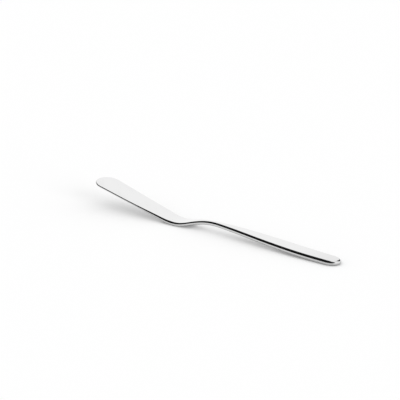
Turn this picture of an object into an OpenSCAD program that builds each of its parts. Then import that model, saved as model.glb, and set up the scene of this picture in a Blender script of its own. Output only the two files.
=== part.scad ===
// Butter knife forged from one bar of stainless steel, lying on a table.
// The tip points along -X and the end of the handle along +X. The blade stands up
// from its heel, the neck arches, and the handle comes down to rest on its end.
// The origin is on the table, under the middle of the knife. Sizes are in millimetres.

/* [Overall] */
// Length of the knife from the tip to the end of the handle
overall_l = 170; // [160:1:190]
// Length of the blade with its heel and shoulders
blade_l = 78; // [74:1:84]
// Length of the neck, from the shoulders to the start of the handle
neck_l = 26; // [20:1:32]

/* [Blade] */
// Width of the blade where its rounded tip starts
blade_w = 16.4; // [13:0.2:19]
// Width of the blade where its shoulders start
heel_w = 10.8; // [9:0.2:14]
// Thickness of the blade
blade_t = 1; // [0.8:0.1:1.6]
// Length of the rounded tip
tip_l = 7.5; // [5:0.5:10]
// Squareness of the rounded tip, where 2 is an ellipse
tip_power = 2; // [1.8:0.1:3]
// Length of blade that thickens towards the heel
thicken_l = 36; // [24:1:44]

/* [Neck] */
// Width of the neck at its narrowest
neck_w = 3.8; // [3:0.1:6]
// Thickness of the heel and the neck
neck_t = 2.2; // [1.8:0.1:2.8]
// Length over which the shoulders narrow to the neck
shoulder_l = 12; // [10:0.5:14]

/* [Handle] */
// Width of the handle at its broadest
handle_w = 10.8; // [9:0.2:13]
// Width of the handle where its rounded end starts
end_w = 10.2; // [8:0.2:12]
// Thickness of the handle near its end
end_t = 2.8; // [2.2:0.1:3.4]
// Length at the end of the handle over which it grows thinner again
nose_l = 10; // [6:1:14]
// How much thinner the handle is at its very end
nose_thin = 0.35; // [0:0.05:0.6]
// Length of the rounded end
end_l = 6.5; // [4:0.5:8]
// Squareness of the rounded end, where 2 is an ellipse
end_power = 2.1; // [1.8:0.1:3]
// Distance from the end of the handle to its broadest place
broad_l = 40; // [30:1:46]

/* [Bends] */
// Distance from the tip to the middle of the heel's bend
heel_x = 61.5; // [58:0.5:66]
// Turn of the heel's bend, in degrees
heel_turn = 28; // [20:0.1:32]
// Half length of the heel's bend
heel_reach = 9.5; // [8:0.5:14]
// Distance from the heel's bend to the bend at the top of the neck
crest_gap = 18.5; // [16:0.5:22]
// Turn of the bend at the top of the neck, in degrees
crest_turn = 15.5; // [10:0.1:18]
// Half length of the bend at the top of the neck
crest_reach = 12; // [8:0.5:14]
// Distance from the top of the neck to the bend where the handle starts to fall
fall_gap = 12.5; // [9:0.5:18]
// Turn of the bend where the handle starts to fall, in degrees
fall_turn = 4.6; // [3:0.1:8]
// Half length of the bend where the handle starts to fall
fall_reach = 25; // [16:1:30]
// Distance from the end of the handle to the middle of its last bend
tail_gap = 16.5; // [12:0.5:22]
// Turn of the handle's last bend, in degrees
tail_turn = 3.1; // [2:0.1:4]
// Half length of the handle's last bend
tail_reach = 23; // [16:1:28]

/* [Table contact] */
// Depth worn flat under the heel and under the end of the handle
land_depth = 0.06; // [0.04:0.01:0.1]

/* [Surface] */
// Spacing of the cross-sections along the knife
section_step = 1.8; // [1.2:0.1:3]
// Number of steps round the rounded side of a cross-section
side_steps = 8; // [6:2:12]
// Number of steps round the tip and round the end
round_steps = 12; // [8:1:18]

/* [Hidden] */
steel = [0.84, 0.85, 0.86];

// Places along the knife, measured from the tip
blade_end = blade_l;
neck_end = blade_l + neck_l;
shoulder_x = heel_x + shoulder_l / 2;
narrow_x = heel_x + shoulder_l * 3 / 2;
broad_x = overall_l - broad_l;
crest_x = heel_x + crest_gap;
fall_x = crest_x + fall_gap;
tail_x = overall_l - tail_gap;

// Shares of a span over which each corner of the outline is softened on both sides
shoulder_soft_share = 0.6;
narrow_soft_share = 1;
broad_soft_share = 0.85;

// Softening rounds a corner off, so these two stand beyond the width that they give
narrow_corner_share = 0.65;
broad_corner_share = 1.09;

// A corner softened over a reach on both sides: 0 before it, x after it, and smooth between
function soft(x, reach) =
    let (u = (x + reach) / (2 * reach))
    u <= 0 ? 0 : u >= 1 ? x : 2 * reach * (pow(u, 3) - pow(u, 4) / 2);

// A rise from 0 to 1 that starts and ends level
function ease(u) =
    let (v = max(0, min(1, u)))
    v * v * (3 - 2 * v);

// A line through corner points [x, value, reach], with each inner corner softened
function slope(points, i) = (points[i + 1][1] - points[i][1]) / (points[i + 1][0] - points[i][0]);
function bent(points, x, i = 1) =
    i > len(points) - 2
    ? points[0][1] + slope(points, 0) * (x - points[0][0])
    : bent(points, x, i + 1) + (slope(points, i) - slope(points, i - 1)) * soft(x - points[i][0], points[i][2]);

// Width along the knife, before the tip and the end are rounded
width_points = [
    [tip_l, blade_w, 0],
    [shoulder_x, heel_w, shoulder_l * shoulder_soft_share],
    [narrow_x, neck_w * narrow_corner_share, shoulder_l * narrow_soft_share],
    [broad_x, handle_w * broad_corner_share, broad_l * broad_soft_share],
    [overall_l - end_l, end_w, 0]
];
function width(x) = bent(width_points, x);

// Thickness along the knife
function thickness(x) =
    let (nose = max(0, (x - overall_l + nose_l) / nose_l))
    blade_t
    + (neck_t - blade_t) * ease((x - heel_x + thicken_l) / thicken_l)
    + (end_t - neck_t) * ease((x - heel_x) / (overall_l - heel_x))
    - nose_thin * pow(nose, 2);

// Height of the middle of the thickness above the line of the blade
function raw_spine(x) =
    tan(heel_turn) * soft(x - heel_x, heel_reach)
    - tan(crest_turn) * soft(x - crest_x, crest_reach)
    - tan(fall_turn) * soft(x - fall_x, fall_reach)
    + tan(tail_turn) * soft(x - tail_x, tail_reach);

// The table is the line that touches the underside at the heel and near the end.
// A line is [height at the tip, slope].
function under(x) = raw_spine(x) - thickness(x) / 2;
function on_line(line, x) = line[0] + line[1] * x;
function lowest(places, line) =
    let (gaps = [for (x = places) under(x) - on_line(line, x)])
    let (least = min(gaps))
    [for (i = [0 : len(places) - 1]) if (gaps[i] == least) places[i]][0];
function line_through(a, b) =
    let (rise = (under(b) - under(a)) / (b - a))
    [under(a) - rise * a, rise];
contact_steps = 200;
function places_between(a, b) = [for (i = [0 : contact_steps]) a + (b - a) * i / contact_steps];
heel_places = places_between(heel_x - heel_reach, heel_x + heel_reach);
tail_places = places_between(tail_x, overall_l - end_t / 2);
function settle(line, turns) =
    turns == 0
    ? line
    : settle(line_through(lowest(heel_places, line), lowest(tail_places, line)), turns - 1);
settle_turns = 4;
table = settle(line_through(heel_x, overall_l - end_l), settle_turns);
function spine(x) = raw_spine(x) - on_line(table, x) - land_depth;

// A station is [x, half width, x of the outward normal, y of the outward normal].
// At the tip and at the end the outline is a superellipse, elsewhere the sides run along X.
function round_station(from_x, sense, reach, power, q) =
    let (x = from_x + sense * reach * (1 - pow(cos(q), 2 / power)))
    let (half = width(x) / 2)
    let (along = pow(cos(q), 2 - 2 / power) / reach)
    let (across = pow(sin(q), 2 - 2 / power) / half)
    let (size = norm([along, across]))
    [x, half * pow(sin(q), 2 / power), -sense * along / size, across / size];
function straight_station(x) = [x, width(x) / 2, 0, 1];
function stations_between(a, b) =
    let (count = ceil((b - a) / section_step))
    [for (i = [0 : count]) straight_station(a + (b - a) * i / count)];
function round_stations(from_x, sense, reach, power) =
    [for (i = [0 : round_steps - 1]) round_station(from_x, sense, reach, power, 90 * i / round_steps)];

// One point of a section: side is -1 near and 1 far, and j goes from the bottom face to the top
function section_point(station, side, j) =
    let (turn = 180 * j / side_steps - 90)
    let (r = thickness(station[0]) / 2)
    let (inset = r * (1 - cos(turn)))
    let (x = station[0] - station[2] * inset)
    let (y = max(0, station[1] - station[3] * inset))
    [x - overall_l / 2, side * y, spine(x) + r * sin(turn)];

// A solid through the stations. With pole true the first station closes in a rounded tip.
module forged(stations, pole, turned) {
    m = side_steps + 1;
    n = len(stations);
    skipped = pole ? m : 0;
    function at(i, side, j) = i == 0 && pole ? j : i * 2 * m - skipped + side * m + j;
    points = [
        for (i = [0 : n - 1])
            for (side = i == 0 && pole ? [0] : [0, 1])
                for (j = [0 : side_steps])
                    section_point(stations[i], side * 2 - 1, j)
    ];
    near = [
        for (i = [0 : n - 2])
            for (j = [0 : side_steps - 1])
                for (face = [
                    [at(i, 0, j), at(i, 0, j + 1), at(i + 1, 0, j + 1)],
                    [at(i, 0, j), at(i + 1, 0, j + 1), at(i + 1, 0, j)]
                ]) face
    ];
    far = [
        for (i = [0 : n - 2])
            for (j = [0 : side_steps - 1])
                for (face = [
                    [at(i, 1, j), at(i + 1, 1, j + 1), at(i, 1, j + 1)],
                    [at(i, 1, j), at(i + 1, 1, j), at(i + 1, 1, j + 1)]
                ]) face
    ];
    first = pole ? 1 : 0;
    top = [
        for (i = [first : n - 2])
            [
                at(i, 0, side_steps), at(i, 1, side_steps),
                at(i + 1, 1, side_steps), at(i + 1, 0, side_steps)
            ]
    ];
    bottom = [
        for (i = [first : n - 2])
            [at(i, 0, 0), at(i + 1, 0, 0), at(i + 1, 1, 0), at(i, 1, 0)]
    ];
    pole_faces = pole
        ? [
            [at(0, 0, side_steps), at(1, 1, side_steps), at(1, 0, side_steps)],
            [at(0, 0, 0), at(1, 0, 0), at(1, 1, 0)]
        ]
        : [section_ring(0, 1)];
    function section_ring(i, sense) = [
        for (k = [0 : 2 * m - 1])
            let (p = sense > 0 ? 2 * m - 1 - k : k)
            p < m ? at(i, 0, p) : at(i, 1, 2 * m - 1 - p)
    ];
    faces = concat(near, far, top, bottom, pole_faces, [section_ring(n - 1, -1)]);
    polyhedron(points, turned ? [for (face = faces) [for (k = [len(face) - 1 : -1 : 0]) face[k]]] : faces);
}

// The space above the table, which leaves a flat land wherever the steel dips into it
module above_table() {
    translate([-overall_l, -overall_l / 2, 0]) cube([overall_l * 2, overall_l, overall_l]);
}

// The blade, from its rounded tip to the end of its shoulders, resting on its heel
module blade() {
    color(steel) intersection() {
        forged(
            concat(round_stations(0, 1, tip_l, tip_power), stations_between(tip_l, blade_end)),
            true, false
        );
        above_table();
    }
}

// The neck, which arches clear of the table between the shoulders and the handle
module neck() {
    color(steel) forged(stations_between(blade_end, neck_end), false, false);
}

// The handle, which broadens from the neck and rests on its rounded end
module handle() {
    body = stations_between(neck_end, overall_l - end_l);
    color(steel) intersection() {
        forged(
            concat(
                round_stations(overall_l, -1, end_l, end_power),
                [for (i = [len(body) - 1 : -1 : 0]) body[i]]
            ),
            true, true
        );
        above_table();
    }
}

blade();
neck();
handle();
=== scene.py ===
"""Butter knife of polished steel on a pale table, laid out as an add-on and run as a script."""

import math

import bpy
import numpy as np
from bpy.props import FloatProperty, FloatVectorProperty, IntProperty, PointerProperty
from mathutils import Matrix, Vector


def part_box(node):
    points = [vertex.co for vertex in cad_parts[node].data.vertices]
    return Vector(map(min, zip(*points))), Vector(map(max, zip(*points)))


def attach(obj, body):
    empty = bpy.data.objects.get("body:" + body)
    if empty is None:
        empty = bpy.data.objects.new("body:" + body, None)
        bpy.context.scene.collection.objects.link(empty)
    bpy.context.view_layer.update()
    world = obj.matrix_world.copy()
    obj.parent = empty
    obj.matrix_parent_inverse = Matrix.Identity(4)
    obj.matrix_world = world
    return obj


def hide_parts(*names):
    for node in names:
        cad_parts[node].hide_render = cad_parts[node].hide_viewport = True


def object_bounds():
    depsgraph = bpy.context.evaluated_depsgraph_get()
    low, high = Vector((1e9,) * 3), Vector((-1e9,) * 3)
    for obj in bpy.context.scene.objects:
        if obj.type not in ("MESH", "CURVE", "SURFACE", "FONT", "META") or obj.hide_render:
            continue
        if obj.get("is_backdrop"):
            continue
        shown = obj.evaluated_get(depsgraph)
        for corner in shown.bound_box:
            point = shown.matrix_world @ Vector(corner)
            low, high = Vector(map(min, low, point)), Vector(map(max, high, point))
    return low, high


bl_info = {
    "name": "Butter Knife",
    "version": (1, 0, 0),
    "blender": (4, 5, 0),
    "location": "View3D > Sidebar > Knife",
    "description": "Builds a polished butter knife and the pale table that it lies on",
    "category": "Add Mesh",
}

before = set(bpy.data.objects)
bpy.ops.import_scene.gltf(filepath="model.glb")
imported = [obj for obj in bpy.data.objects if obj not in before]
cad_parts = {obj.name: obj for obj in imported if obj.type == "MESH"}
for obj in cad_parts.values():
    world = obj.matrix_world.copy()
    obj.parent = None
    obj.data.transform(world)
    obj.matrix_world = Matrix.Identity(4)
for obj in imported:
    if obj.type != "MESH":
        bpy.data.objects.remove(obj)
CAD_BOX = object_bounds()
ZONE_BOXES = {name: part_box(name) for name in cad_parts}
MM = 0.001
WHITE = (1, 1, 1, 1)
BLACK = (0, 0, 0, 1)


def length(name, description, default_mm):
    """A length property, shown in the scene's units, with its default in millimetres."""
    return FloatProperty(
        name=name, description=description, default=default_mm * MM, min=0, subtype="DISTANCE", unit="LENGTH"
    )


def place(name, description, default_mm):
    """A place property, which may be negative, with its default in millimetres."""
    return FloatProperty(
        name=name, description=description, default=default_mm * MM, subtype="DISTANCE", unit="LENGTH"
    )


def angle(name, description, default_deg):
    """An angle property with its default in degrees."""
    return FloatProperty(
        name=name, description=description, default=math.radians(default_deg), subtype="ANGLE", unit="ROTATION"
    )


def share(name, description, default):
    """A property from 0 to 1."""
    return FloatProperty(name=name, description=description, default=default, min=0, max=1, subtype="FACTOR")


def number(name, description, default, lowest=0):
    """A plain number property."""
    return FloatProperty(name=name, description=description, default=default, min=lowest)


def colour(name, description, default):
    """A colour property."""
    return FloatVectorProperty(
        name=name, description=description, default=default, min=0, max=1, size=3, subtype="COLOR"
    )


def steps(name, description, default, lowest):
    """A whole number of steps."""
    return IntProperty(name=name, description=description, default=default, min=lowest)


class KnifeOutline(bpy.types.PropertyGroup):
    """Widths and thicknesses of the knife, seen from above"""

    blade_w: length("Blade width", "Width of the blade where its rounded tip starts", 16.4)
    heel_w: length("Heel width", "Width of the blade where its shoulders start", 10.8)
    blade_t: length("Blade thickness", "Thickness of the blade", 1.0)
    tip_l: length("Tip length", "Length of the rounded tip", 7.5)
    tip_power: number("Tip squareness", "2 is an ellipse", 2.0, 1)
    thicken_l: length("Thickening", "Length of blade that thickens towards the heel", 36.0)
    neck_w: length("Neck width", "Width of the neck at its narrowest", 3.8)
    neck_t: length("Neck thickness", "Thickness of the heel and the neck", 2.2)
    shoulder_l: length("Shoulder length", "Length over which the shoulders narrow to the neck", 12.0)
    handle_w: length("Handle width", "Width of the handle at its broadest", 10.8)
    end_w: length("End width", "Width of the handle where its rounded end starts", 10.2)
    end_t: length("End thickness", "Thickness of the handle near its end", 2.8)
    nose_l: length("Nose length", "Length at the end of the handle over which it grows thinner again", 10.0)
    nose_thin: length("Nose thinning", "How much thinner the handle is at its very end", 0.35)
    end_l: length("End length", "Length of the rounded end", 6.5)
    end_power: number("End squareness", "2 is an ellipse", 2.1, 1)
    broad_l: length("Broadest place", "Distance from the end of the handle to its broadest place", 40.0)
    crown: length("Crown", "Rise of the middle of the upper face above its sides", 0.03)


class KnifeBends(bpy.types.PropertyGroup):
    """Bends of the knife, seen from the side"""

    heel_x: length("Heel place", "Distance from the tip to the middle of the heel's bend", 61.5)
    heel_turn: angle("Heel turn", "Turn of the heel's bend", 28.0)
    heel_reach: length("Heel reach", "Half length of the heel's bend", 9.5)
    crest_gap: length("Crest gap", "Distance from the heel's bend to the top of the neck", 18.5)
    crest_turn: angle("Crest turn", "Turn of the bend at the top of the neck", 15.5)
    crest_reach: length("Crest reach", "Half length of the bend at the top of the neck", 12.0)
    fall_gap: length("Fall gap", "Distance from the top of the neck to where the handle starts to fall", 12.5)
    fall_turn: angle("Fall turn", "Turn of the bend where the handle starts to fall", 4.6)
    fall_reach: length("Fall reach", "Half length of that bend", 25.0)
    tail_gap: length("Tail gap", "Distance from the end of the handle to its last bend", 16.5)
    tail_turn: angle("Tail turn", "Turn of the handle's last bend", 3.1)
    tail_reach: length("Tail reach", "Half length of the handle's last bend", 23.0)
    land_depth: length("Land depth", "Depth worn flat under the heel and under the end", 0.06)


class KnifeFinish(bpy.types.PropertyGroup):
    """Finish of the steel, and how fine its surface is"""

    steel: colour("Steel", "Colour of the polished steel", (0.855, 0.855, 0.855))
    # The colour of the wiping marks, and the darker colour that the steel is given towards the end of the
    # handle.
    hazed_marks_and_darker_end: colour("Hazed steel", "Colour of the steel where it is dullest", (0.775, 0.775, 0.775))
    marked: share("Marks", "Share of the hazed colour in a wiping mark", 0.35)
    # Share of that darker colour at the end of the handle: the steel is made darker in colour towards its end.
    end_darkening: share("Dulled end", "Share of the hazed colour at the end of the handle", 0.95)
    gloss: share("Roughness", "Roughness of the polish where it is cleanest", 0.04)
    haze: share("Haze", "Roughness that wiping marks add", 0.05)
    scratch: share("Scratches", "Roughness that hairline scratches add", 0.12)
    least_wear: share("Least wear", "Share of the wear that is left at the neck", 0.35)
    scratch_turn: angle("Scratch turn", "Turn of the long hairlines from the knife's long axis", 4.0)
    cross_turn: angle("Cross turn", "Turn of the slanted hairlines from the knife's long axis", -23.0)
    grain_depth: length("Grain depth", "Depth of the polishing grain", 0.0002)
    scratch_depth: length("Scratch depth", "Depth of the hairline scratches", 0.001)
    section_step: length("Section step", "Spacing of the cross-sections along the knife", 0.4)
    side_steps: steps("Side steps", "Steps round a rounded side", 24, 8)
    face_steps: steps("Face steps", "Steps across a flat face", 12, 4)
    round_steps: steps("Round steps", "Steps round the tip and the end", 40, 12)


class KnifeStudio(bpy.types.PropertyGroup):
    """Table, light, screens and camera"""

    azimuth: angle("Azimuth", "Turn of the camera round the knife", 40.0)
    elevation: angle("Elevation", "Height of the camera above the table", 17.0)
    distance: length("Distance", "Distance from the camera to the place it looks at", 913.8)
    aim_x: place("Aim along", "Place looked at, along the knife", -44.4)
    aim_y: place("Aim across", "Place looked at, across the knife", 42.0)
    focal: number("Focal length", "Focal length in millimetres", 140.0, 1)
    table: colour("Table", "Colour of the table", (0.592, 0.592, 0.592))
    mottle: share("Table mottle", "Share by which the table's colour varies", 0.01)
    table_size: length("Table size", "Length of the table's sides", 12000.0)
    table_drop: length("Table drop", "Gap between the table and the flats that rest on it", 0.02)
    table_glow: share("Table glow", "White that is seen on top of the table's own tone", 0.38)
    # Near glow, Near and Far paint shade into the steel's reflection of the table: the mirrored table is
    # darker the closer it lies to the steel.
    painted_shade_near_glow: share("Near glow", "White that the steel sees on top of the tone of the table close by", 0.08)
    near: length("Near", "Distance from the steel up to which it sees the near glow", 8.0)
    far: length("Far", "Distance from the steel at which it sees the table's whole glow", 50)
    # Contact and the share below it paint a contact shadow: ambient occlusion darkens the table's white glow
    # where a piece lies close above it.
    contact: length("Contact", "Height up to which a piece over the table takes some of the glow away", 2.0)
    painted_contact_shade: share("Covered", "Share of the glow that is gone where a piece covers the table wholly", 0.5)
    lamp: number("Lamp", "Strength of the lamp", 1.44)
    lamp_turn: angle("Lamp turn", "Turn of the lamp round the knife, counted as the camera's", 75)
    lamp_height: angle("Lamp height", "Height of the lamp above the table", 18)
    lamp_size: angle("Lamp size", "Apparent size of the lamp", 30.0)
    fill: number("Fill", "Strength of the light from all round", 0.905)
    screen_tone: share("Screen tone", "Brightness of the dark screens", 0.01)
    upper_turn: angle("Upper screen turn", "Direction of the upper screen, from the knife's long axis", 238)
    upper_half: angle("Upper screen half width", "Half of the angle that the upper screen fills", 107)
    upper_from: angle("Upper screen start", "Height at which the upper screen begins", 33.5)
    upper_to: angle("Upper screen end", "Height at which the upper screen ends", 85)
    card_turn: angle("Card turn", "Direction of the card in front, from the knife's long axis", 258)
    card_half: angle("Card half width", "Half of the angle that the card fills", 62)
    card_from: angle("Card start", "Height at which the card begins", 4.0)
    flag_turn: angle("Flag turn", "Direction of the small screen on the right, from the knife's long axis", 93)
    flag_half: angle("Flag half width", "Half of the angle that the flag fills", 23)
    flag_from: angle("Flag start", "Height at which the flag begins", 17.5)
    flag_to: angle("Flag end", "Height at which the flag ends", 50)
    sharp: angle("Sharp edge", "Half of the angle over which the edge of a screen fades", 2.5)
    soft: angle("Soft edge", "Half of the angle over which the sides of the card fade", 30)


def soften(x, reach):
    """A corner at 0: 0 before it, x after it, and 2r(u^3 - u^4 / 2) between, where u = (x + r) / 2r."""
    u = np.clip((x + reach) / (2 * reach), 0, 1)
    return np.where(x >= reach, x, 2 * reach * (u**3 - u**4 / 2))


def ease(u):
    """A rise from 0 to 1 that starts and ends level: 3u^2 - 2u^3."""
    v = np.clip(u, 0, 1)
    return v * v * (3 - 2 * v)


def bent_line(corners, x):
    """A line through corners (x, value, reach).

    It is the first slope, plus each change of slope times its soft corner.
    """
    slopes = [(b[1] - a[1]) / (b[0] - a[0]) for a, b in zip(corners, corners[1:])]
    line = corners[0][1] + slopes[0] * (x - corners[0][0])
    for (corner, _, reach), before, after in zip(corners[1:-1], slopes, slopes[1:]):
        line = line + (after - before) * soften(x - corner, reach)
    return line


class KnifeForm:
    """Width, thickness and height of the knife at any distance from its tip, as the solids have them."""

    shoulder_soft_share = 0.6
    narrow_soft_share = 1.0
    broad_soft_share = 0.85
    narrow_corner_share = 0.65
    broad_corner_share = 1.09
    contact_steps = 2000
    settle_turns = 4

    def __init__(self, outline, bends):
        o, b = outline, bends
        self.outline = o
        self.bends = b
        self.whole = CAD_BOX[1].x - CAD_BOX[0].x
        self.tip = CAD_BOX[0].x
        self.corners = [
            (o.tip_l, o.blade_w, 0),
            (b.heel_x + o.shoulder_l / 2, o.heel_w, o.shoulder_l * self.shoulder_soft_share),
            (b.heel_x + o.shoulder_l * 3 / 2, o.neck_w * self.narrow_corner_share,
             o.shoulder_l * self.narrow_soft_share),
            (self.whole - o.broad_l, o.handle_w * self.broad_corner_share,
             o.broad_l * self.broad_soft_share),
            (self.whole - o.end_l, o.end_w, 0),
        ]
        self.table = self.settle()

    def width(self, x):
        """Width before the tip and the end are rounded: the bent line through the outline's corners."""
        return bent_line(self.corners, x)

    def thickness(self, x):
        """The blade's, plus eased rises to the heel and on to the end, less a square over the nose."""
        o, heel = self.outline, self.bends.heel_x
        nose = np.maximum((x - self.whole + o.nose_l) / o.nose_l, 0)
        to_heel = (o.neck_t - o.blade_t) * ease((x - heel + o.thicken_l) / o.thicken_l)
        to_end = (o.end_t - o.neck_t) * ease((x - heel) / (self.whole - heel))
        return o.blade_t + to_heel + to_end - o.nose_thin * nose**2

    def raw_spine(self, x):
        """Height above the line of the blade: the sum of each bend's slope times its soft corner."""
        b = self.bends
        crest = b.heel_x + b.crest_gap
        return (
            math.tan(b.heel_turn) * soften(x - b.heel_x, b.heel_reach)
            - math.tan(b.crest_turn) * soften(x - crest, b.crest_reach)
            - math.tan(b.fall_turn) * soften(x - crest - b.fall_gap, b.fall_reach)
            + math.tan(b.tail_turn) * soften(x - self.whole + b.tail_gap, b.tail_reach)
        )

    def under(self, x):
        """Height of the underside above the line of the blade."""
        return self.raw_spine(x) - self.thickness(x) / 2

    def settle(self):
        """The table as (height at the tip, slope), a line that touches the underside near both ends.

        The two lowest places are looked for in turn, each above the line through the last two.
        """
        o, b = self.outline, self.bends
        heel = np.linspace(b.heel_x - b.heel_reach, b.heel_x + b.heel_reach, self.contact_steps)
        tail = np.linspace(self.whole - b.tail_gap, self.whole - o.end_t / 2, self.contact_steps)
        first, last = b.heel_x, self.whole - o.end_l
        for _ in range(self.settle_turns):
            rise = (self.under(last) - self.under(first)) / (last - first)
            first = heel[np.argmin(self.under(heel) - rise * heel)]
            last = tail[np.argmin(self.under(tail) - rise * tail)]
        rise = (self.under(last) - self.under(first)) / (last - first)
        return self.under(first) - rise * first, rise

    def spine(self, x):
        """Height of the middle of the thickness above the table."""
        return self.raw_spine(x) - self.table[0] - self.table[1] * x - self.bends.land_depth


def straight_stations(form, x):
    """Rows of (x, half width, normal along, normal across) with the sides square to the sections."""
    return np.stack([x, form.width(x) / 2, np.zeros_like(x), np.ones_like(x)], axis=1)


def round_stations(form, start, sense, reach, power, count):
    """Rows as above round a superellipse: x = reach (1 - cos^(2/p) q), half width times sin^(2/p) q."""
    q = np.linspace(0, math.pi / 2, count + 1)[:-1]
    x = start + sense * reach * (1 - np.cos(q) ** (2 / power))
    half = form.width(x) / 2
    along = np.cos(q) ** (2 - 2 / power) / reach
    across = np.sin(q) ** (2 - 2 / power) / half
    size = np.hypot(along, across)
    return np.stack([x, half * np.sin(q) ** (2 / power), -sense * along / size, across / size], axis=1)


def zone_stations(form, finish, box):
    """Rows of stations of one zone of the knife, and whether it is cut at its start and at its end.

    Past each cut comes one more row, from which only the slope at the cut is taken.
    """
    outline, step = form.outline, finish.section_step
    first, last = box[0].x - form.tip, box[1].x - form.tip
    cut_first = first > outline.tip_l
    cut_last = last < form.whole - outline.end_l
    first = first if cut_first else outline.tip_l
    last = last if cut_last else form.whole - outline.end_l
    x = np.linspace(first, last, math.ceil((last - first) / step) + 1)
    x = np.concatenate([[first - step] * cut_first, x, [last + step] * cut_last])
    rows = [straight_stations(form, x)]
    if not cut_first:
        rows.insert(0, round_stations(form, 0, 1, outline.tip_l, outline.tip_power, finish.round_steps))
    if not cut_last:
        end = round_stations(form, form.whole, -1, outline.end_l, outline.end_power, finish.round_steps)
        rows.append(end[::-1])
    return np.concatenate(rows), cut_first, cut_last


def knife_surface(form, stations, finish):
    """The surface as a grid of stations by places round the section.

    Round the section run the near side, a half circle of radius t / 2 inside the outline,
    the upper face with a crown c (1 - s^2), the far side, and the flat lower face.
    """
    side = np.linspace(-math.pi / 2, math.pi / 2, finish.side_steps + 1)
    face = np.linspace(-1, 1, finish.face_steps + 1)[1:-1]
    up, down = np.full(face.size, math.pi / 2), np.full(face.size, -math.pi / 2)
    turn = np.concatenate([side, up, side[::-1], down])
    across = np.concatenate([np.full(side.size, -1.0), face, np.full(side.size, 1.0), face[::-1]])
    level = np.zeros(side.size)
    crown = np.concatenate([level, 1 - face**2, level, np.zeros(face.size)])
    x, half, normal_x, normal_y = (column[:, None] for column in stations.T)
    radius = form.thickness(x) / 2
    inset = radius * (1 - np.cos(turn))
    px = x - normal_x * inset
    py = np.maximum(half - normal_y * inset, 0) * across
    flat_half = np.maximum(half - normal_y * radius, 0)
    domed = form.outline.crown * crown * np.minimum(flat_half / radius, 1)
    pz = form.spine(px) + radius * np.sin(turn) + domed
    return np.stack([px + form.tip, py, np.maximum(pz, 0)], axis=2)


NO_SIZE = 1e-6  # of the largest square, below which a square has no direction of its own
SAME_PLACE_DIGITS = 5  # of a millimetre, to which places are rounded to find those that lie together


def grid_normals(points):
    """Outward normals of a surface grid: the cross product of its directions along and round the knife.

    Where an end row draws together in a point, the next row's normals are taken.
    """
    along = np.gradient(points, axis=0)
    ring = np.concatenate([points[:, -1:], points, points[:, :1]], axis=1)
    around = (ring[:, 2:] - ring[:, :-2]) / 2
    normals = np.cross(along, around)
    size = np.linalg.norm(normals, axis=2, keepdims=True)
    drawn_in = size < size.max() * NO_SIZE
    normals = normals / np.where(drawn_in, 1, size)
    normals[0] = np.where(drawn_in[0], normals[1], normals[0])
    normals[-1] = np.where(drawn_in[-1], normals[-2], normals[-1])
    return normals


def closed_mesh(name, points, normals, cut_first, cut_last):
    """A closed mesh from a grid, shaded by the grid's own normals, with a flat face on each cut.

    Points that lie together are merged, and a square whose corners merge becomes a triangle or nothing.
    """
    rows, columns = points.shape[:2]
    places = points.reshape(-1, 3)
    grid = np.arange(rows * columns).reshape(rows, columns)
    rounded = np.round(places / MM, SAME_PLACE_DIGITS)
    _, kept, merged = np.unique(rounded, axis=0, return_index=True, return_inverse=True)
    merged = merged.reshape(-1)
    right = np.roll(grid, -1, axis=1)
    squares = np.stack([grid[:-1], grid[1:], right[1:], right[:-1]], axis=2).reshape(-1, 4)
    apart = merged[squares] != np.roll(merged[squares], 1, axis=1)
    apart &= apart.sum(axis=1, keepdims=True) > 2
    sizes = apart.sum(axis=1)
    corners = [squares[apart]]
    sizes = [sizes[sizes > 0]]
    shading = [normals.reshape(-1, 3)[squares[apart]]]
    for cut, ring, facing in ((cut_first, grid[0], -1.0), (cut_last, grid[-1][::-1], 1.0)):
        if cut:
            corners.append(ring)
            sizes.append([columns])
            shading.append(np.tile((facing, 0.0, 0.0), (columns, 1)))
    corners, sizes = np.concatenate(corners), np.concatenate(sizes)
    mesh = bpy.data.meshes.new(name)
    mesh.vertices.add(kept.size)
    mesh.vertices.foreach_set("co", places[kept].ravel())
    mesh.loops.add(corners.size)
    mesh.loops.foreach_set("vertex_index", merged[corners])
    mesh.polygons.add(sizes.size)
    mesh.polygons.foreach_set("loop_start", np.cumsum(sizes) - sizes)
    mesh.update(calc_edges=True)
    if mesh.validate():
        raise RuntimeError(f"the surface of {name} isn't a clean mesh")
    mesh.shade_smooth()
    mesh.normals_split_custom_set(np.concatenate(shading))
    return mesh


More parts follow.
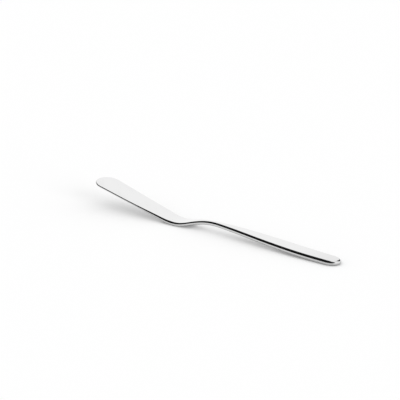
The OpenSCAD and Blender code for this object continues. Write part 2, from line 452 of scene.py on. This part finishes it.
class NodeDesk:
    """Puts nodes into a node tree and links them."""

    def __init__(self, tree):
        self.tree = tree

    def feed(self, socket, value):
        """Links value to the socket if it is another node's output, and otherwise writes it there."""
        if isinstance(value, bpy.types.NodeSocket):
            self.tree.links.new(value, socket)
        else:
            socket.default_value = value

    def add(self, kind, inputs=(), **settings):
        """A new node with these settings and inputs."""
        node = self.tree.nodes.new(kind)
        for key, value in settings.items():
            setattr(node, key, value)
        for key, value in dict(inputs).items():
            self.feed(node.inputs[key], value)
        return node

    def math(self, operation, *values):
        """The result of a math node."""
        return self.add("ShaderNodeMath", enumerate(values), operation=operation).outputs[0]

    def vector_math(self, operation, *values):
        """The result of a vector math node."""
        node = self.add("ShaderNodeVectorMath", enumerate(values), operation=operation)
        return node.outputs["Value" if operation == "DOT_PRODUCT" else "Vector"]

    def ramp(self, value, start, end, low=0.0, high=1.0):
        """value eased from low, where it is start, to high, where it is end."""
        rows = {"Value": value, "From Min": start, "From Max": end, "To Min": low, "To Max": high}
        return self.add("ShaderNodeMapRange", rows, interpolation_type="SMOOTHSTEP").outputs["Result"]

    def blend(self, factor, a, b):
        """A colour between a and b. Of the mix node's inputs, those for two colours are numbers 6 and 7."""
        rows = {0: factor, 6: a, 7: b}
        return self.add("ShaderNodeMix", rows, data_type="RGBA").outputs[2]

    def noise(self, vector, detail):
        """Soft noise with about one mark to each whole number of the vector."""
        rows = {"Vector": vector, "Scale": 1.0, "Detail": detail}
        return self.add("ShaderNodeTexNoise", rows).outputs[0]

    def turned(self, vector, turn):
        """The vector turned about the vertical."""
        rows = {"Vector": vector, "Angle": turn}
        return self.add("ShaderNodeVectorRotate", rows, rotation_type="Z_AXIS").outputs[0]

    def drawn_out(self, vector, per_metre, longer):
        """The vector counted in marks, per_metre of them, each drawn out along the knife by longer."""
        along = self.math("DIVIDE", per_metre, longer)
        counts = self.add("ShaderNodeCombineXYZ", {"X": along, "Y": per_metre, "Z": per_metre}).outputs[0]
        return self.vector_math("MULTIPLY", vector, counts)


def fresh_desk(owner):
    """A node desk on an empty node tree of a material or a world."""
    owner.use_nodes = True
    owner.node_tree.nodes.clear()
    return NodeDesk(owner.node_tree)


def node_group(name, inputs, output, fill):
    """A shader node group, made once.

    inputs maps socket names to defaults, and fill returns what goes out.
    """
    found = bpy.data.node_groups.get(name)
    if found:
        return found
    group = bpy.data.node_groups.new(name, "ShaderNodeTree")
    group.interface.new_socket("Vector", in_out="INPUT", socket_type="NodeSocketVector")
    for socket_name, default in inputs.items():
        socket = group.interface.new_socket(socket_name, in_out="INPUT", socket_type="NodeSocketFloat")
        socket.default_value = default
    group.interface.new_socket(output, in_out="OUTPUT", socket_type="NodeSocketFloat")
    desk = NodeDesk(group)
    entry = desk.add("NodeGroupInput").outputs
    desk.add("NodeGroupOutput", {output: fill(desk, entry)})
    return group


def polishing_grain():
    """Node group: fine lines along the knife, as a polishing wheel leaves them.

    Drawn-out noise, eased from 0 to 1 over its middle.
    """
    detail, low, high = 3.0, 0.3, 0.7

    def fill(desk, entry):
        vector = desk.drawn_out(entry["Vector"], entry["Lines per metre"], entry["Line length"])
        return desk.ramp(desk.noise(vector, detail), low, high)

    inputs = {"Lines per metre": 4000.0, "Line length": 40.0}
    return node_group("Polishing grain", inputs, "Grain", fill)


def hairline_scratches():
    """Node group: a few long hairlines.

    Contour lines of drawn-out noise at its middle, kept where a coarser noise is high.
    """
    line_length, line_detail, line_level, line_half = 25.0, 1.0, 0.5, 0.012
    patch_length, patch_detail, patch_low, patch_high = 2.0, 2.0, 0.48, 0.62

    def fill(desk, entry):
        turned = desk.turned(entry["Vector"], entry["Turn"])
        drawn = desk.drawn_out(turned, entry["Lines per metre"], line_length)
        off_line = desk.math("SUBTRACT", desk.noise(drawn, line_detail), line_level)
        line = desk.ramp(desk.math("ABSOLUTE", off_line), line_half, 0.0)
        drawn = desk.drawn_out(turned, entry["Patches per metre"], patch_length)
        return desk.math("MULTIPLY", line, desk.ramp(desk.noise(drawn, patch_detail), patch_low, patch_high))

    inputs = {"Turn": 0.0, "Lines per metre": 700.0, "Patches per metre": 260.0}
    return node_group("Hairline scratches", inputs, "Scratch", fill)


def wiping_marks():
    """Node group: soft slanted marks that a polishing cloth leaves.

    Turned, drawn-out noise, eased from 0 to 1 over its upper part.
    """
    mark_length, detail, low, high = 3.0, 4.0, 0.42, 0.75

    def fill(desk, entry):
        turned = desk.turned(entry["Vector"], entry["Turn"])
        drawn = desk.drawn_out(turned, entry["Marks per metre"], mark_length)
        return desk.ramp(desk.noise(drawn, detail), low, high)

    inputs = {"Turn": 0.6, "Marks per metre": 180.0}
    return node_group("Wiping marks", inputs, "Mark", fill)


SLANTED_PER_METRE = 500.0  # slanted hairlines, which are fewer than the lengthwise ones


def polished_steel(name, finish, worn_x, clean_x, end_darkening):
    """Polished steel with grain, hairlines and wiping marks.

    Hairlines and marks fade from worn_x to clean_x along the knife. The last argument is the share
    of the darker colour at worn_x, which makes the steel darker there, and it fades over
    the nearer half of the way to clean_x.
    """
    material = bpy.data.materials.new(name)
    desk = fresh_desk(material)
    vector = desk.add("ShaderNodeTexCoord").outputs["Object"]
    along = desk.add("ShaderNodeSeparateXYZ", {0: vector}).outputs["X"]
    wear = desk.ramp(along, clean_x, worn_x, finish.least_wear, 1.0)

    def effect(group, **values):
        node = desk.add("ShaderNodeGroup", node_tree=group)
        desk.feed(node.inputs["Vector"], vector)
        for key, value in values.items():
            desk.feed(node.inputs[key.replace("_", " ")], value)
        return node.outputs[0]

    grain = effect(polishing_grain())
    lengthwise = effect(hairline_scratches(), Turn=finish.scratch_turn)
    slanted = effect(hairline_scratches(), Turn=finish.cross_turn, Lines_per_metre=SLANTED_PER_METRE)
    scratch = desk.math("MULTIPLY", desk.math("MAXIMUM", lengthwise, slanted), wear)
    mark = desk.math("MULTIPLY", effect(wiping_marks()), wear)
    roughness = desk.math("MULTIPLY_ADD", mark, finish.haze, finish.gloss)
    roughness = desk.math("MULTIPLY_ADD", scratch, finish.scratch, roughness)
    # the steel's colour is made darker towards the end of the handle
    darker_end = desk.ramp(along, (clean_x + worn_x) / 2, worn_x, 0.0, end_darkening)
    hazed_marks_and_darker_end = desk.math("MAXIMUM", desk.math("MULTIPLY", mark, finish.marked), darker_end)
    tint = desk.blend(hazed_marks_and_darker_end, (*finish.steel, 1), (*finish.hazed_marks_and_darker_end, 1))
    rows = {"Height": grain, "Distance": finish.grain_depth}
    grained = desk.add("ShaderNodeBump", rows).outputs[0]
    rows = {"Height": scratch, "Distance": finish.scratch_depth, "Normal": grained}
    scratched = desk.add("ShaderNodeBump", rows, invert=True).outputs[0]
    rows = {"Base Color": tint, "Metallic": 1.0, "Roughness": roughness, "Normal": scratched}
    shader = desk.add("ShaderNodeBsdfPrincipled", rows).outputs[0]
    desk.add("ShaderNodeOutputMaterial", {"Surface": shader})
    return material


def forge(context, zone, worn_x, clean_x, end_darkening=0.0):
    """Adds one forged zone of the knife, which stands for the solid of that name."""
    scene = context.scene
    form = KnifeForm(scene.knife_outline, scene.knife_bends)
    stations, cut_first, cut_last = zone_stations(form, scene.knife_finish, ZONE_BOXES[zone])
    points = knife_surface(form, stations, scene.knife_finish)
    normals = grid_normals(points)
    kept = slice(int(cut_first), len(points) - int(cut_last))
    mesh = closed_mesh(f"forged_{zone}", points[kept], normals[kept], cut_first, cut_last)
    steel = polished_steel(f"Polished {zone} steel", scene.knife_finish, worn_x, clean_x, end_darkening)
    mesh.materials.append(steel)
    piece = bpy.data.objects.new(f"forged_{zone}", mesh)
    scene.collection.objects.link(piece)
    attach(piece, "root")
    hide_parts(zone)


class ForgeBlade(bpy.types.Operator):
    """Forge the flat blade with its rounded tip, worn most at the tip"""

    bl_idname = "knife.forge_blade"
    bl_label = "Blade"
    bl_options = {"REGISTER", "UNDO"}

    def execute(self, context):
        low, high = ZONE_BOXES["blade"]
        forge(context, "blade", worn_x=low.x, clean_x=high.x)
        return {"FINISHED"}


class ForgeNeck(bpy.types.Operator):
    """Forge the narrow neck, which lifts the handle off the table and is worn least"""

    bl_idname = "knife.forge_neck"
    bl_label = "Neck"
    bl_options = {"REGISTER", "UNDO"}

    def execute(self, context):
        forge(context, "neck", worn_x=ZONE_BOXES["handle"][1].x, clean_x=ZONE_BOXES["handle"][0].x)
        return {"FINISHED"}


class ForgeHandle(bpy.types.Operator):
    """Forge the handle, worn most at its rounded end and made darker in colour towards it"""

    bl_idname = "knife.forge_handle"
    bl_label = "Handle"
    bl_options = {"REGISTER", "UNDO"}

    def execute(self, context):
        low, high = ZONE_BOXES["handle"]
        end_darkening = context.scene.knife_finish.end_darkening
        forge(context, "handle", worn_x=high.x, clean_x=low.x, end_darkening=end_darkening)
        return {"FINISHED"}


def kinds_of_ray(desk):
    """Three values of 1 or 0, one for each kind of ray that is treated apart.

    They are a ray straight from the camera, a ray from the camera that a piece mirrors, and a ray
    from a matt surface that a piece mirrors. The light that the last kind brings is left out.
    """
    path = desk.add("ShaderNodeLightPath").outputs
    turned_back = desk.math("MAXIMUM", path["Is Glossy Ray"], path["Is Transmission Ray"])
    thrown = desk.math("MULTIPLY", turned_back, desk.math("MINIMUM", path["Diffuse Depth"], 1.0))
    return path["Is Camera Ray"], desk.math("SUBTRACT", turned_back, thrown), thrown


MOTTLE_PER_METRE, MOTTLE_LENGTH, MOTTLE_DETAIL = 300.0, 1.0, 3.0


def pale_table(studio):
    """Matt table with a faint mottle, which is seen with some plain white on top of its own tone.

    A painted contact shadow takes part of that white away where a piece covers the table closely.
    The steel sees less of it close by than far off, a painted shade in its reflection of the table,
    and throws none of the table's light back on it.
    """
    material = bpy.data.materials.new("Pale table")
    desk = fresh_desk(material)
    vector = desk.add("ShaderNodeTexCoord").outputs["Object"]
    marks = desk.noise(desk.drawn_out(vector, MOTTLE_PER_METRE, MOTTLE_LENGTH), MOTTLE_DETAIL)
    mottle = desk.math("MULTIPLY", marks, studio.mottle)
    straight, mirrored, thrown = kinds_of_ray(desk)
    tone = desk.blend(desk.math("MAXIMUM", mottle, thrown), (*studio.table, 1), BLACK)
    # painted shade in the reflection: the table that the steel mirrors is darker close to the steel than far
    # off
    reach = desk.add("ShaderNodeLightPath").outputs["Ray Length"]
    mirrored_glow_with_painted_shade = desk.ramp(reach, studio.near, studio.far, studio.painted_shade_near_glow, studio.table_glow)
    # painted contact shadow: ambient occlusion darkens the table's glow under and beside the knife
    open_sky = desk.add("ShaderNodeAmbientOcclusion", {"Distance": studio.contact}).outputs["AO"]
    kept = desk.math("MULTIPLY_ADD", open_sky, studio.painted_contact_shade, 1 - studio.painted_contact_shade)
    glow = desk.math("MULTIPLY", straight, desk.math("MULTIPLY", kept, studio.table_glow))
    glow = desk.math("MULTIPLY_ADD", mirrored, mirrored_glow_with_painted_shade, glow)
    rows = {
        "Base Color": tone, "Roughness": 1.0, "Specular IOR Level": 0.0,
        "Emission Color": WHITE, "Emission Strength": glow,
    }
    matt = desk.add("ShaderNodeBsdfPrincipled", rows).outputs[0]
    desk.add("ShaderNodeOutputMaterial", {"Surface": matt})
    return material


def lay_table(context, studio):
    """A square sheet under the knife, just below the flats that it rests on."""
    half = studio.table_size / 2
    corners = np.array([(-half, -half), (half, -half), (half, half), (-half, half)])
    drop = np.full((len(corners), 1), -studio.table_drop)
    mesh = bpy.data.meshes.new("table")
    mesh.from_pydata(np.hstack([corners, drop]).tolist(), [], [(0, 1, 2, 3)])
    mesh.materials.append(pale_table(studio))
    table = bpy.data.objects.new("table", mesh)
    context.scene.collection.objects.link(table)
    table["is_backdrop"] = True


def hang_screens(context, studio):
    """The world: white to the camera, an even fill as light, and a studio with screens to the steel.

    The steel sees white, a broad dark screen high up, a dark card that hangs from it, and a flag.
    """
    world = bpy.data.worlds.new("Studio")
    context.scene.world = world
    desk = fresh_desk(world)
    direction = desk.add("ShaderNodeTexCoord").outputs["Generated"]
    height = desk.add("ShaderNodeSeparateXYZ", {0: direction}).outputs["Z"]
    level = desk.vector_math("NORMALIZE", desk.vector_math("MULTIPLY", direction, (1, 1, 0)))

    def rise(at):
        return desk.ramp(height, math.sin(at - studio.sharp), math.sin(at + studio.sharp))

    def screen(turn, half, side_soft, low, high):
        beside = desk.vector_math("DOT_PRODUCT", level, (math.cos(turn), math.sin(turn), 0))
        across = desk.ramp(beside, math.cos(half + side_soft), math.cos(half - side_soft))
        return desk.math("MULTIPLY", across, desk.math("SUBTRACT", rise(low), rise(high)))

    upper = screen(studio.upper_turn, studio.upper_half, studio.sharp, studio.upper_from, studio.upper_to)
    card = screen(studio.card_turn, studio.card_half, studio.soft, studio.card_from, studio.upper_to)
    flag = screen(studio.flag_turn, studio.flag_half, studio.sharp, studio.flag_from, studio.flag_to)
    screens = desk.math("MAXIMUM", desk.math("MAXIMUM", upper, card), flag)
    studio_tone = desk.math("MULTIPLY_ADD", screens, studio.screen_tone - 1, 1.0)
    straight, mirrored, thrown = kinds_of_ray(desk)
    strength = desk.math("ADD", straight, desk.math("MULTIPLY", mirrored, studio_tone))
    treated_apart = desk.math("ADD", desk.math("ADD", straight, mirrored), thrown)
    gathering = desk.math("SUBTRACT", 1.0, treated_apart)
    strength = desk.math("MULTIPLY_ADD", gathering, studio.fill, strength)
    background = desk.add("ShaderNodeBackground", {"Color": WHITE, "Strength": strength}).outputs[0]
    desk.add("ShaderNodeOutputWorld", {"Surface": background})


def hang_lamp(context, studio):
    """A soft low lamp on the handle's side, which the steel doesn't mirror."""
    lamp = bpy.data.lights.new("low_lamp", "SUN")
    lamp.energy = studio.lamp
    lamp.angle = studio.lamp_size
    holder = bpy.data.objects.new("low_lamp", lamp)
    holder.rotation_euler = (math.pi / 2 - studio.lamp_height, 0, studio.lamp_turn)
    holder.visible_glossy = False
    context.scene.collection.objects.link(holder)


NEAR_CLIP_SHARE = 0.1  # of the camera's distance


def place_camera(context, studio):
    """The camera on a sphere round the place it looks at, turned towards it and held level."""
    aim = Vector((studio.aim_x, studio.aim_y, 0))
    flat = math.cos(studio.elevation)
    back = Vector((
        math.sin(studio.azimuth) * flat, -math.cos(studio.azimuth) * flat, math.sin(studio.elevation)
    ))
    lens = bpy.data.cameras.new("camera")
    lens.lens = studio.focal
    lens.clip_start = studio.distance * NEAR_CLIP_SHARE
    lens.clip_end = studio.table_size
    camera = bpy.data.objects.new("camera", lens)
    camera.location = aim + back * studio.distance
    camera.rotation_euler = back.to_track_quat("Z", "Y").to_euler()
    context.scene.collection.objects.link(camera)
    context.scene.camera = camera


class SetStage(bpy.types.Operator):
    """Lay the pale table, hang the lamp and the screens that the steel mirrors, and place the camera"""

    bl_idname = "knife.set_stage"
    bl_label = "Table, light and camera"
    bl_options = {"REGISTER", "UNDO"}

    def execute(self, context):
        studio = context.scene.knife_studio
        lay_table(context, studio)
        hang_screens(context, studio)
        hang_lamp(context, studio)
        place_camera(context, studio)
        context.scene.view_settings.view_transform = "Standard"
        return {"FINISHED"}


class KnifePanel(bpy.types.Panel):
    """Buttons and sizes of the knife and its stage"""

    bl_idname = "VIEW3D_PT_knife"
    bl_label = "Butter Knife"
    bl_space_type = "VIEW_3D"
    bl_region_type = "UI"
    bl_category = "Knife"

    def draw(self, context):
        for operator in OPERATORS:
            self.layout.operator(operator.bl_idname)
        for name in GROUPS:
            group = getattr(context.scene, name)
            box = self.layout.box()
            for key in group.__annotations__:
                box.prop(group, key)


OPERATORS = (ForgeBlade, ForgeNeck, ForgeHandle, SetStage)
GROUPS = {
    "knife_outline": KnifeOutline,
    "knife_bends": KnifeBends,
    "knife_finish": KnifeFinish,
    "knife_studio": KnifeStudio,
}


def register():
    """Registers the classes and gives each scene the knife's properties."""
    for cls in (*GROUPS.values(), *OPERATORS, KnifePanel):
        bpy.utils.register_class(cls)
    for name, group in GROUPS.items():
        setattr(bpy.types.Scene, name, PointerProperty(type=group))


def unregister():
    """Takes the properties and the classes away again."""
    for name in GROUPS:
        delattr(bpy.types.Scene, name)
    for cls in (KnifePanel, *reversed(OPERATORS), *reversed(GROUPS.values())):
        bpy.utils.unregister_class(cls)


def main():
    """Builds the knife and its stage."""
    register()
    bpy.ops.knife.forge_blade()
    bpy.ops.knife.forge_neck()
    bpy.ops.knife.forge_handle()
    bpy.ops.knife.set_stage()
    boxes = {"cad": CAD_BOX, "visual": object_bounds()}
    {name: [list(corner) for corner in box] for name, box in boxes.items()}


if __name__ == "__main__":
    main()
